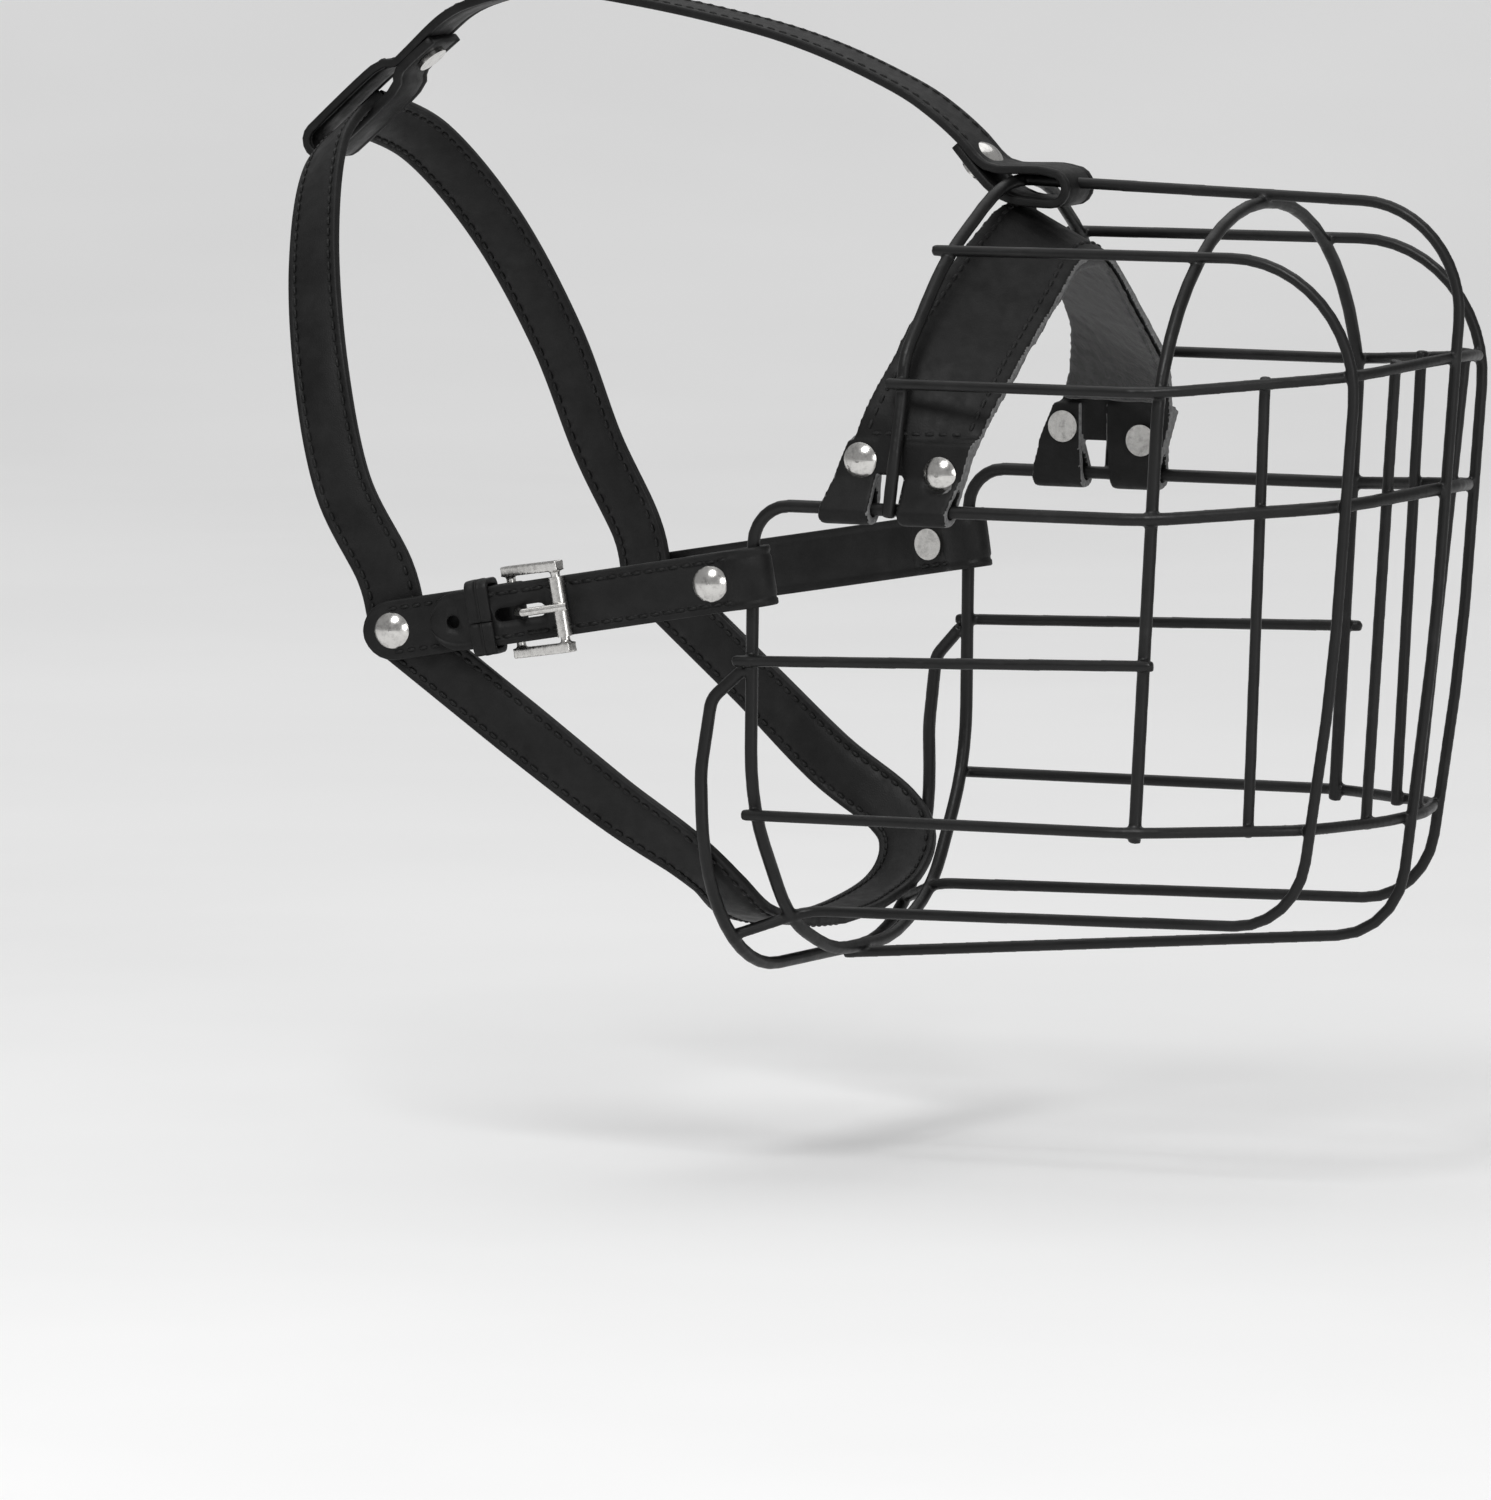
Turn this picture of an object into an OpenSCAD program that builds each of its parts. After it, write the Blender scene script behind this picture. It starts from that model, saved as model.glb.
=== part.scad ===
// Basket muzzle for a very large dog: a welded cage of rubber-coated wire, a felt-lined
// leather nose pad and a leather harness. +X points to the nose, +Z up, and the origin is
// the centre of the rear opening, on the rear rim's plane.

/* [Wire] */
// Diameter of the rim, hoop, arch and throat loop wires
rim_wire_d = 3; // [2.8:0.1:3.2]
// Diameter of the grid wires
grid_wire_d = 2.6; // [2.4:0.1:2.8]
// How far crossing wires sink into each other where they are welded
weld = 0.3; // [0.2:0.05:0.4]

/* [Cage] */
// Half the width of the rear rim, to the wire's centre
rim_half_w = 62.5; // [62:0.1:63]
// How far the nose end of the centre wire stands in front of the rear rim, at mid-height
nose_reach = 157.3; // [156.5:0.1:158]
// Height of the upper ring at the sides
upper_ring_z = 90; // [89.5:0.1:90.5]
// Height of the middle ring at the sides
middle_ring_z = 58.6; // [58.2:0.1:59]
// Height of the side rails' rear ends
side_rail_z = 19.6; // [19:0.2:20.2]
// Height of the lower ring, below the origin
lower_ring_z = -19; // [-19.5:0.1:-18.5]
// Half the distance between the two bow wires
bow_half_gap = 39; // [38.8:0.1:39.2]
// Height of the arch over the nose
arch_top = 133.2; // [132.8:0.1:133.4]

/* [Leather] */
// Width of the cheek, throat and neck straps
strap_w = 15; // [14:0.5:15.5]
// Thickness of one layer of strap leather
strap_t = 2.4; // [2.2:0.1:2.4]
// Width of the forehead strap
forehead_w = 16; // [15:0.5:17]
// Diameter of the rivet heads
rivet_d = 9; // [8:0.5:9.5]

/* [Buckle] */
// Diameter of the buckle's bars
bar_d = 2.4; // [2.2:0.1:2.4]
// Outer diameter of the roller
roller_d = 3.8; // [3.6:0.1:3.8]
// How far the buckle stands from the rear rim, along the cheek strap
buckle_at = 49.5; // [49:0.5:50]

/* [Hidden] */

wire_sides = 12;
$fn = 48;
clear = 0.3;
// How far one leather ply's drawing runs into the next where they are one piece
lap = 0.3;
fit = 0.1;
wire_black = [0.13, 0.13, 0.13];
leather_black = [0.09, 0.09, 0.09];
felt_grey = [0.25, 0.25, 0.26];
nickel = [0.75, 0.74, 0.71];

grid_step = grid_wire_d - weld;
mixed_step = (grid_wire_d + rim_wire_d) / 2 - weld;
// Where the centre wire and the bow wires stand at a height: their fronts lean forward
function centre_x(z) = nose_reach + (z - 28) * (z > 28 ? 0.0952 : 0.1276);
function bow_x(z) = nose_reach - 10.1 + (z - 20) * (z > 20 ? 0.08 : 0.155);
function shoulder_x(z) = 107.5 + 0.053 * (z - 58);
nose_y = 12;

// Vector helpers
function unit(v) = v / norm(v);
function turn(u, v) = atan2(norm(cross(u, v)), u * v);
function flip(p) = [p[0], -p[1], p[2]];
function flipped(route) = [for (i = [len(route) - 1 : -1 : 0]) flip(route[i])];
function backwards(list) = [for (i = [len(list) - 1 : -1 : 0]) list[i]];
function way(route, i) = unit(route[i + 1] - route[i]);
// v turned about the unit axis k by the angle a
function spin(v, k, a) = v * cos(a) + cross(k, v) * sin(a) + k * (k * v) * (1 - cos(a));

// A route's points with each inner corner rounded to its radius
function rounded(route, radii) = [
    for (i = [0 : len(route) - 1])
        if (i == 0 || i == len(route) - 1) route[i]
        else let (u = way(route, i - 1), v = way(route, i), a = turn(u, v), r = radii[i - 1],
                steps = max(1, ceil(a / (r > 25 ? 8 : 16))),
                start = route[i] - u * r * tan(a / 2), k = unit(cross(u, v)),
                centre = start + unit(cross(k, u)) * r)
            for (s = [0 : steps]) centre + spin(start - centre, k, a * s / steps)];

// The direction of travel at each point
function headings(p) = let (n = len(p) - 1) [for (i = [0 : n])
    unit((i < n ? unit(p[i + 1] - p[i]) : [0, 0, 0]) + (i > 0 ? unit(p[i] - p[i - 1]) : [0, 0, 0]))];

// A side vector for each point, carried along without twist
function sides(h, i = 0, s = undef) =
    i == len(h) ? []
    : let (hint = s == undef ? (abs(h[0][2]) > 0.8 ? [0, 1, 0] : [0, 0, 1]) : s,
            now = unit(hint - h[i] * (hint * h[i])))
        concat([now], sides(h, i + 1, now));

// A closed solid from rings of points of equal count
module skin(rings) {
    n = len(rings[0]);
    m = len(rings);
    points = [for (r = rings, p = r) p];
    walls = [for (i = [0 : m - 2], j = [0 : n - 1])
        [i * n + j, i * n + (j + 1) % n, (i + 1) * n + (j + 1) % n, (i + 1) * n + j]];
    triangles = [for (q = walls, t = [[q[0], q[2], q[1]], [q[0], q[3], q[2]]]) t];
    caps = [[for (j = [0 : n - 1]) j], [for (j = [n - 1 : -1 : 0]) (m - 1) * n + j]];
    polyhedron(points, concat(triangles, caps));
}

// A round wire along a route whose corners are bent to the given radii
module wire(route, radii, d) {
    p = rounded(route, radii);
    h = headings(p);
    s = sides(h);
    skin([for (i = [0 : len(p) - 1]) let (up = cross(h[i], s[i]))
        [for (j = [0 : wire_sides - 1]) let (a = 360 * j / wire_sides)
            p[i] + (s[i] * cos(a) + up * sin(a)) * d / 2]]);
}

// ---- Cage ----

// Half of a ring's front, from its right shoulder to the nose, rising by `rise` on the way
function ring_side(z, half_w, rise) = let (mid = z + 0.62 * rise, top = z + rise)
    [[shoulder_x(z), -half_w, z], [bow_x(mid) - 0.6, 0.3 - bow_half_gap, mid],
        [centre_x(top) - grid_step, -nose_y, top]];
ring_radii = [25, 25, 40, 40, 25, 25];
upper_rise = 6.2;
middle_rise = 5;
lower_rise = 0.4;

module ring(z, half_w, rise, rear_x) {
    side = ring_side(z, half_w, rise);
    wire(concat([[rear_x, -half_w, z]], side, flipped(side), [[rear_x, half_w, z]]),
        ring_radii, grid_wire_d);
}

module centre_wire() {
    function at(z) = [centre_x(z), 0, z];
    color(wire_black) wire([[45.6, 0, 137], [165.8, 0, 133.8], at(28), at(-47.6) + [-0.4, 0, 0],
        [-5, 0, -59.4]], [27, 300, 20], grid_wire_d);
}

module bow_wire(side) {
    function at(z) = [bow_x(z), bow_half_gap, z];
    route = [[38.4, 39.3, 121.6], at(122.4), at(20), at(-43.2), [3, 37.8, -45],
        [-11.8, 49.4, -50.6]];
    color(wire_black) wire([for (p = route) [p[0], side * p[1], p[2]]], [33, 300, 20, 12],
        grid_wire_d);
}
module right_bow_wire() bow_wire(-1);
module left_bow_wire() bow_wire(1);

module upper_ring_wire() color(wire_black)
    ring(upper_ring_z, rim_half_w + 0.4, upper_rise, 36.8);
module lower_ring_wire() color(wire_black)
    ring(lower_ring_z, rim_half_w, lower_rise, -3);

// The jaw rim and the middle ring are one wire, butt-welded under the left rear pad tab
module rim_wire() {
    side = ring_side(middle_ring_z, rim_half_w, middle_rise);
    front = concat(side, flipped(side));
    weld_x = 25;
    hair = 0.03;
    jaw = [[0, -rim_half_w, middle_ring_z], [-1, -rim_half_w, -16], [-0.5, -41.5, -47.2],
        [0, -17, -57.2]];
    route = concat([[weld_x + hair, rim_half_w, middle_ring_z]], backwards(front),
        jaw, flipped(jaw), [[weld_x - hair, rim_half_w, middle_ring_z]]);
    color(wire_black) wire(route, concat(ring_radii, [10, 45, 35, 50, 50, 35, 45, 10]), rim_wire_d);
}

module arch_wire() {
    foot_y = rim_half_w - 2.5;
    leg = [[103.1, -foot_y, lower_ring_z - 2.5], [109.4, -foot_y - 0.1, 88],
        [110.3, -41.5, arch_top]];
    color(wire_black) wire(concat(leg, flipped(leg)), [30, 60, 60, 30], rim_wire_d);
}

module rear_hoop_wire() {
    leg = [[38.2, -rim_half_w - 2.7, middle_ring_z - 1.6], [39.4, -64.4, 70], [39.8, -60.3, 88],
        [40, -60, 96], [42.2, -41, 119.4], [44.4, -12.5, 137]];
    color(wire_black) wire(concat(leg, [for (i = [5 : -1 : 0]) flip(leg[i])]),
        [20, 30, 15, 55, 38, 38, 55, 15, 30, 20], rim_wire_d);
}

module throat_loop_wire() {
    leg = [[-2.6, -62.6, side_rail_z - 2], [-10.5, -65, 10], [-13, -66, -8], [-12, -65.5, -60]];
    color(wire_black) wire(concat(leg, flipped(leg)), [6, 30, 42, 42, 30, 6], rim_wire_d);
}

module side_rail(side) {
    route = [[-4.5, side * (rim_half_w + 2.4), side_rail_z],
        [109, side * (rim_half_w - 0.2), side_rail_z + 3]];
    color(wire_black) wire(route, [], grid_wire_d);
}
module right_side_rail() side_rail(-1);
module left_side_rail() side_rail(1);

// The point behind a ring's slanted side (part 0) or nose (part 1), at x or at y
function behind(z, rise, part, x, y) = let (side = ring_side(z, rim_half_w, rise),
        a = side[part], b = side[part + 1], u = unit(b - a), n = unit([u[1], -u[0], 0]),
        f = part == 0 ? (x - a[0]) / u[0] : (y - a[1]) / u[1])
    a + u * f - n * grid_step;

module uprights(part, x_top, x_foot, y_top, y_foot) color(wire_black) for (side = [-1, 1]) {
    top = behind(upper_ring_z, upper_rise, part, x_top, y_top);
    foot = behind(lower_ring_z, lower_rise, part, x_foot, y_foot);
    wire([for (p = [top, foot]) let (past = unit(top - foot) * (p == top ? 1.6 : -1.6))
        [p[0], -side * p[1], p[2]] + [past[0], -side * past[1], past[2]]], [], grid_wire_d);
}
module side_uprights() uprights(0, 133.5, 128.2, 0, 0);
module front_uprights() uprights(1, 0, 0, -22, -16);

// ---- Straps: flat profiles in a plane, then given their width ----

// A strap folded round a wire at the origin and running off along +x: two layers that stay
// r_in apart from the middle for `straight`, close over `taper` and lie together for `tail`
module fold_profile(r_in, t, straight, taper, tail) {
    difference() {
        circle(r = r_in + t);
        circle(r = r_in);
        translate([0, -r_in - 2 * t]) square([r_in + 2 * t, 2 * r_in + 4 * t]);
    }
    for (s = [-1, 1])
        polygon([[-lap, s * r_in], [straight, s * r_in], [straight + taper, -s * lap / 10],
            [straight + taper + tail, -s * lap / 10], [straight + taper + tail, s * t],
            [straight + taper, s * t], [straight, s * (r_in + t)], [-lap, s * (r_in + t)]]);
}

// A band of even thickness along a flat route
module band_profile(route, t) {
    n = len(route) - 1;
    function normal(i) = let (a = route[max(0, i - 1)], b = route[min(n, i + 1)], u = unit(b - a))
        [-u[1], u[0]];
    polygon(concat([for (i = [0 : n]) route[i] + normal(i) * t / 2],
        [for (i = [n : -1 : 0]) route[i] - normal(i) * t / 2]));
}

// A ribbon through the points, with the width along the given hints, smoothed between them
function smooth(p, i, f) = let (a = p[max(0, i - 1)], b = p[i], c = p[i + 1],
        d = p[min(len(p) - 1, i + 2)])
    0.5 * (2 * b + (c - a) * f + (2 * a - 5 * b + 4 * c - d) * f * f
        + (3 * b - a - 3 * c + d) * f * f * f);
function smoothed(p, steps) = concat([for (i = [0 : len(p) - 2], s = [0 : steps - 1])
    smooth(p, i, s / steps)], [p[len(p) - 1]]);
module ribbon(points, widths, w, t, steps) {
    p = smoothed(points, steps);
    wide = smoothed(widths, steps);
    h = headings(p);
    skin([for (i = [0 : len(p) - 1])
        let (across = unit(wide[i] - h[i] * (wide[i] * h[i])) * w / 2,
            out = unit(cross(h[i], across)) * t / 2)
        [p[i] - across - out, p[i] + across - out, p[i] + across + out, p[i] - across + out]]);
}

// A domed rivet on the z axis, its head's face at z = 0 and its shank reaching down to -grip
module rivet(grip) {
    d = rivet_d;
    dome = d * 0.2;
    ball = (d * d / 4 + dome * dome) / (2 * dome);
    rotate_extrude() intersection() {
        translate([0, dome - ball]) circle(r = ball);
        square([d, dome]);
    }
    translate([0, 0, -grip - 0.1]) cylinder(h = grip + 0.2, d = 3);
    translate([0, 0, -grip - 1.1]) cylinder(h = 1.1, d = d - 1);
}
shank_hole_d = 3.2;

// ---- Nose pad ----
pad_tilt = 26.8;
pad_t = 2.2;
felt_t = 2.6;
pad_half_w = 61.2;
pad_top = 136.2;
tab_rivets = [[28.9, 70.6], [50.6, 67.7]];

// The pad's section across the snout, `inset` inside its outer face; its heights are along
// the tilted pad's own upright
module pad_arch(inset) {
    w = pad_half_w - inset;
    side = [[-w, 40, 0], [-w, 88, 0], [inset - 50.6, 106.8 - inset / 2, 0],
        [-8, pad_top - inset, 0]];
    route = concat(side, [for (i = [3 : -1 : 0]) [-side[i][0], side[i][1], 0]]);
    polygon([for (q = rounded(route, [22, 40, 20, 20, 40, 22])) [q[0], q[1]]]);
}

module pad_shell(outer, inner) rotate([0, pad_tilt, 0]) translate([-70, 0, 0])
    rotate([90, 0, 90]) linear_extrude(140) difference() {
        pad_arch(outer);
        pad_arch(inner);
        translate([-70, 0]) square([140, 41]);
    }

// The pad seen from the side, `edge` inside its front and rear edges
module pad_outline(edge) translate([0, 70, 0]) rotate([90, 0, 0]) linear_extrude(140)
    polygon([[22 + edge, 67], [27 + edge, 76.5], [34 + edge, 96], [37.5 + edge, 117],
        [41.8 + edge, 133], [42.5 + edge, 140], [66, 140], [64.6 - edge, 124],
        [64.4 - edge, 112], [62.4 - edge, 88], [58.6 - edge, 73], [56.5 - edge, 67]]);

// One side's tab, in the y-z plane with the ring at its origin and +x inwards: down over
// the ring, under it and back up inside
module tab_profile() {
    r = rim_wire_d / 2 + 0.25;
    meet = 8;
    difference() {
        circle(r = r + pad_t);
        circle(r = r);
        translate([-9, 0]) square([18, 9]);
    }
    polygon([[-r - pad_t, -lap], [-r, -lap], [2.9, meet], [2.9, 17], [0.7, 17], [0.7, meet]]);
    polygon([[r, -lap], [r + pad_t, -lap], [5.1, meet], [5.1, 18], [2.9, 18], [2.9, meet]]);
}

module pad_leather() color(leather_black) {
    difference() {
        intersection() {
            pad_shell(0, pad_t);
            pad_outline(0);
        }
        pad_rivet_holes();
    }
    for (side = [-1, 1])
        difference() {
            intersection() {
                translate([0, side * rim_half_w, middle_ring_z])
                    mirror([0, side > 0 ? 1 : 0, 0]) rotate([90, 0, 90])
                        linear_extrude(80) tab_profile();
                translate([0, 80, 0]) rotate([90, 0, 0]) linear_extrude(160) {
                    polygon([[18.6, 50], [33, 50], [33, 67], [33, 78], [26.4, 78], [22, 68],
                        [19.3, 59]]);
                    polygon([[40.6, 50], [53.2, 50], [54.6, 60], [60, 78], [40.6, 78]]);
                }
            }
            pad_rivet_holes();
        }
}

// Where the rivets' heads and tails press into leather of this grip, and their shank's hole
module rivet_seat(grip) {
    translate([0, 0, -grip - 8]) cylinder(h = grip + 16, d = shank_hole_d);
    cylinder(h = 5, d = rivet_d + 0.5);
    translate([0, 0, -grip - 4]) cylinder(h = 4, d = rivet_d + 0.5);
}
module on_tabs() for (side = [-1, 1], p = tab_rivets)
    translate([p[0], side * (rim_half_w - 0.68), p[1]]) rotate([-side * 90, 0, 0]) children();
module pad_rivet_holes() on_tabs() rivet_seat(2 * pad_t);

module pad_felt() color(felt_grey) intersection() {
    pad_shell(pad_t + 0.02, pad_t + felt_t);
    pad_outline(1);
    translate([0, -80, 77.5]) cube([80, 160, 80]);
}

module pad_rivets() color(nickel) on_tabs() rivet(2 * pad_t);

// ---- Forehead strap, drawn in the middle plane ----
forehead_t = 2.2;
loop_centre = [55.5, 135.5];
loop_r = 2.8;
forehead_rivet_at = [33.6, 141.2];
nape = [-141, 149];
nape_turn = 41.3;
function nape_at(x, y) = nape + [x * cos(nape_turn) - y * sin(nape_turn),
    x * sin(nape_turn) + y * cos(nape_turn)];
module at_forehead_rivet() translate([forehead_rivet_at[0], 0, forehead_rivet_at[1]])
    rotate([0, 45, 0]) translate([0, 0, 2.6]) children();
module at_nape_rivet() translate([nape[0], 0, nape[1]]) rotate([0, -nape_turn, 0])
    translate([24, 0, forehead_t]) children();

module forehead_strap() {
    mid = loop_r + forehead_t / 2;
    over = [loop_centre + [0, mid], [52, 140], [45, 139.9], [40.5, 139.9], [37.3, 140.7],
        [34.2, 143], [30.6, 146.8], [24, 152.2], [15.7, 157.6], [5, 162.6], [-6, 167], [-17, 170.6],
        [-28, 173.4], [-44, 176.6], [-60, 179.2], [-75, 181], [-90, 181.2], [-103, 178.8],
        [-114, 174.2], nape_at(28, forehead_t / 2), nape_at(17.8, forehead_t / 2)];
    under = [loop_centre - [0, mid], [50, 131.8], [44.5, 132.4], [39.6, 134.6], [36, 137.8],
        [32.7, 141.4], [29.1, 145.5]];
    color(leather_black) difference() {
        translate([0, forehead_w / 2, 0]) rotate([90, 0, 0]) linear_extrude(forehead_w) {
            band_profile(over, forehead_t);
            band_profile(under, forehead_t);
            translate(loop_centre) difference() {
                circle(r = loop_r + forehead_t);
                circle(r = loop_r);
                translate([-10 - lap, -9]) square([10, 18]);
            }
            translate(nape) rotate(nape_turn) {
                translate([-11, 0]) fold_profile(2.8, forehead_t, 24, 5, 1);
                translate([18.5, -forehead_t]) square([12.5, forehead_t + lap / 10]);
            }
        }
        // slit for the centre wire
        translate([54.5, -2.2, 133.2]) cube([20, 4.4, 5.6]);
        at_forehead_rivet() rivet_seat(2 * forehead_t + 0.8);
        at_nape_rivet() rivet_seat(2 * forehead_t);
    }
}

module forehead_rivet() color(nickel) at_forehead_rivet() rivet(2 * forehead_t + 0.8);

module nape_rivet() color(nickel) at_nape_rivet() rivet(2 * forehead_t);

// ---- Side straps: each side's lie in one upright plane, toed out towards the rear ----
toe_out = 9.9;
cheek_root = [0, -rim_half_w, 40.5];
cheek_drop = 9.5;
junction_at = 96;
heel = [buckle_at + 14, -clear - bar_d / 2 - 0.15 - 1.5];
tab_t = 1.5;
roller_y = strap_t + clear + roller_d / 2;
tab_face = heel[1] + tab_t;
throat_face = heel[1] - tab_t - fit;
neck_face = throat_face - strap_t - fit;
side_out = [sin(toe_out), -cos(toe_out), 0];
side_back = [-cos(toe_out), -sin(toe_out), 0];
// A point of the right cheek strap's own frame: x along it, y outwards, z across
function cheek_at(x, y, z = 0) = cheek_root + side_out * y
    + side_back * (x * cos(cheek_drop) + z * sin(cheek_drop))
    + [0, 0, z * cos(cheek_drop) - x * sin(cheek_drop)];

module in_cheek() translate(cheek_root) rotate([0, 0, 180 + toe_out]) rotate([0, cheek_drop, 0])
    children();
module on_left() mirror([0, 1, 0]) children();

// Everything beyond a rounded strap tip centred at x, for a strap running towards `turned`
module beyond_tip(x, turned = 0) translate([x, 0, 0]) rotate([0, turned, 0]) difference() {
    translate([0, -20, -strap_w]) cube([strap_w + 9, 40, 2 * strap_w]);
    rotate([90, 0, 0]) cylinder(h = 50, r = strap_w / 2, center = true);
}

module cheek_fold() {
    r_in = rim_wire_d / 2 + 0.5;
    translate([0, 0, -strap_w / 2]) linear_extrude(strap_w) {
        translate([-0.8, 0]) fold_profile(r_in, strap_t, 4, 3.5, 9.7);
        children();
    }
}

module cheek_rivet_hole() translate([10.8, 0, 0]) rotate([90, 0, 0])
    cylinder(h = 20, d = shank_hole_d, center = true);

module right_cheek_strap() {
    tip = 77;
    color(leather_black) in_cheek() difference() {
        cheek_fold() translate([16.2, 0]) square([tip - 16.2 + strap_w / 2, strap_t]);
        cheek_rivet_hole();
        beyond_tip(tip);
        // slot where the tongue comes through, and a spare hole
        translate([heel[0] - 9.5, -1, -1.7]) cube([13.5, strap_t + 2, 3.4]);
        translate([heel[0] + 15, 0, 0]) rotate([90, 0, 0])
            cylinder(h = 20, d = 3.4, center = true);
    }
}

module left_cheek_strap() {
    color(leather_black) on_left() in_cheek() difference() {
        cheek_fold() band_profile([[16.2, strap_t / 2], [40, strap_t / 2],
            [70, tab_face - strap_t / 2], [junction_at - 7, tab_face - strap_t / 2],
            [junction_at + strap_w / 2, tab_face - strap_t / 2]], strap_t);
        cheek_rivet_hole();
        beyond_tip(junction_at);
        junction_hole();
    }
}

module junction_hole() translate([junction_at, 0, 0]) rotate([90, 0, 0])
    cylinder(h = 60, d = shank_hole_d, center = true);

module right_cheek_rivet() color(nickel) in_cheek()
    translate([10.8, strap_t, 0]) rotate([-90, 0, 0]) rivet(2 * strap_t);
module left_cheek_rivet() on_left() right_cheek_rivet();

// ---- Throat strap: down inside the throat loop, under the jaw and up the other side ----
throat_pitch = 37;
throat_way = side_back * -cos(throat_pitch) + [0, 0, -sin(throat_pitch)];
throat_across = side_back * sin(throat_pitch) * -1 + [0, 0, cos(throat_pitch)];
throat_join = cheek_at(junction_at, throat_face - strap_t / 2);
module throat_strap() {
    half = [throat_join - throat_way * 9, throat_join + throat_way * 2,
        throat_join + throat_way * 14, throat_join + throat_way * 40,
        throat_join + throat_way * 70 + [0, 0.8, 0], [-20.8, -60.4, -29.2], [-13.8, -55.2, -36.8],
        [-12, -43.5, -44.6], [-12, -22, -49.4]];
    across = concat([for (i = [0 : 3]) throat_across],
        [[0.6, -0.15, 0.78], [0.6, -0.36, 0.71], [0.8, -0.4, 0.44], [1, -0.1, 0.12], [1, 0, 0]]);
    color(leather_black) difference() {
        ribbon(concat(half, [[-12, 0, -51]], flipped(half)),
            concat(across, [[1, 0, 0]], flipped(across)), strap_w, strap_t, 3);
        for (m = [0, 1]) mirror([0, m, 0]) in_cheek() {
            junction_hole();
            beyond_tip(junction_at, -cheek_drop - throat_pitch);
        }
    }
}

// ---- Neck strap: right half of its route, then mirrored ----
junction = cheek_at(junction_at, neck_face - strap_t / 2);
neck_start = unit([0, 0, 1] + side_back * 0.27);
neck_half = [junction - neck_start * 12, junction + neck_start * 2, junction + neck_start * 15,
    [-110, -71.6, 60], [-119, -66, 88], [-128.6, -51, 117], [-137, -28, 139.5]];
neck_width_half = [for (i = [0 : 2]) cross(neck_start, side_out)];
module neck_strap() {
    across = concat(neck_width_half,
        [[0.93, 0.1, 0.25], [0.88, 0.06, 0.4], [0.82, 0.03, 0.53], [0.78, 0, 0.62]]);
    route = concat(neck_half, [[nape[0], 0, nape[1]]], flipped(neck_half));
    wide = concat(across, [[0.75, 0, 0.66]], flipped(across));
    color(leather_black) difference() {
        ribbon(route, wide, strap_w, strap_t, 3);
        for (m = [0, 1]) mirror([0, m, 0]) in_cheek() {
            junction_hole();
            beyond_tip(junction_at, 95.6);
        }
    }
}

// ---- Buckle and what holds it ----
module buckle_tab() color(leather_black) in_cheek() difference() {
    translate([0, 0, -strap_w / 2]) linear_extrude(strap_w) translate([heel[0], heel[1]])
        fold_profile(bar_d / 2 + 0.15, tab_t, 0.6, 3, junction_at - heel[0] - 3.6 + strap_w / 2);
    beyond_tip(junction_at);
    junction_hole();
    // notch for the tongue's eye
    translate([heel[0] - 6, heel[1] - 6, -2.1]) cube([10.5, 12, 4.2]);
}

module right_junction_rivet() color(nickel) in_cheek()
    translate([junction_at, tab_face, 0]) rotate([-90, 0, 0])
        rivet(tab_face - neck_face + strap_t + fit);
module left_junction_rivet() on_left() right_junction_rivet();

frame_half_w = strap_w / 2 + 2.8;
module buckle_frame() color(nickel) in_cheek() {
    for (p = [heel, [buckle_at, roller_y]])
        translate([p[0], p[1], -frame_half_w]) cylinder(h = 2 * frame_half_w, d = bar_d);
    slope = atan2(roller_y - heel[1], buckle_at - heel[0]);
    length = norm([buckle_at, roller_y] - heel);
    for (s = [-1, 1])
        translate([heel[0], heel[1], s * frame_half_w]) rotate([0, 0, slope])
            translate([-2, -1.5, -1.3]) cube([length + 4, 3, 2.6]);
}

module buckle_roller() color(nickel) in_cheek()
    translate([buckle_at, roller_y, -strap_w / 2]) difference() {
        cylinder(h = strap_w, d = roller_d);
        translate([0, 0, -1]) cylinder(h = strap_w + 2, d = bar_d + 0.2);
    }

// The tongue comes up through the strap's slot and bends to lie over the roller
module buckle_tongue() {
    tongue_d = 2;
    top = roller_y + roller_d / 2 + tongue_d / 2 + fit;
    bend = [heel[0] - 5, top];
    tip = buckle_at - 2.5;
    rise = bend - heel;
    color(nickel) in_cheek() difference() {
        union() {
            translate([heel[0], heel[1], -1.5]) cylinder(h = 3, d = bar_d + 2.2);
            translate([heel[0], heel[1], 0]) rotate([0, 0, atan2(rise[1], rise[0])])
                rotate([0, 90, 0]) cylinder(h = norm(rise), d = tongue_d);
            translate([bend[0], bend[1], 0]) sphere(d = tongue_d);
            translate([tip, top, 0]) rotate([0, 90, 0]) cylinder(h = bend[0] - tip, d = tongue_d);
        }
        translate([heel[0], heel[1], -4]) cylinder(h = 8, d = bar_d + 0.2);
    }
}

keeper_at = 71;
keeper_w = 6;
module keeper_loop() {
    low = heel[1] - tab_t - clear;
    high = strap_t + clear;
    half = strap_w / 2 + 0.5;
    t = 1.5;
    color(leather_black) in_cheek() translate([keeper_at - keeper_w / 2, 0, 0])
        rotate([90, 0, 90]) linear_extrude(keeper_w) difference() {
            translate([low - t, -half - t]) square([high - low + 2 * t, 2 * (half + t)]);
            translate([low, -half]) square([high - low, 2 * half]);
        }
}

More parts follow.
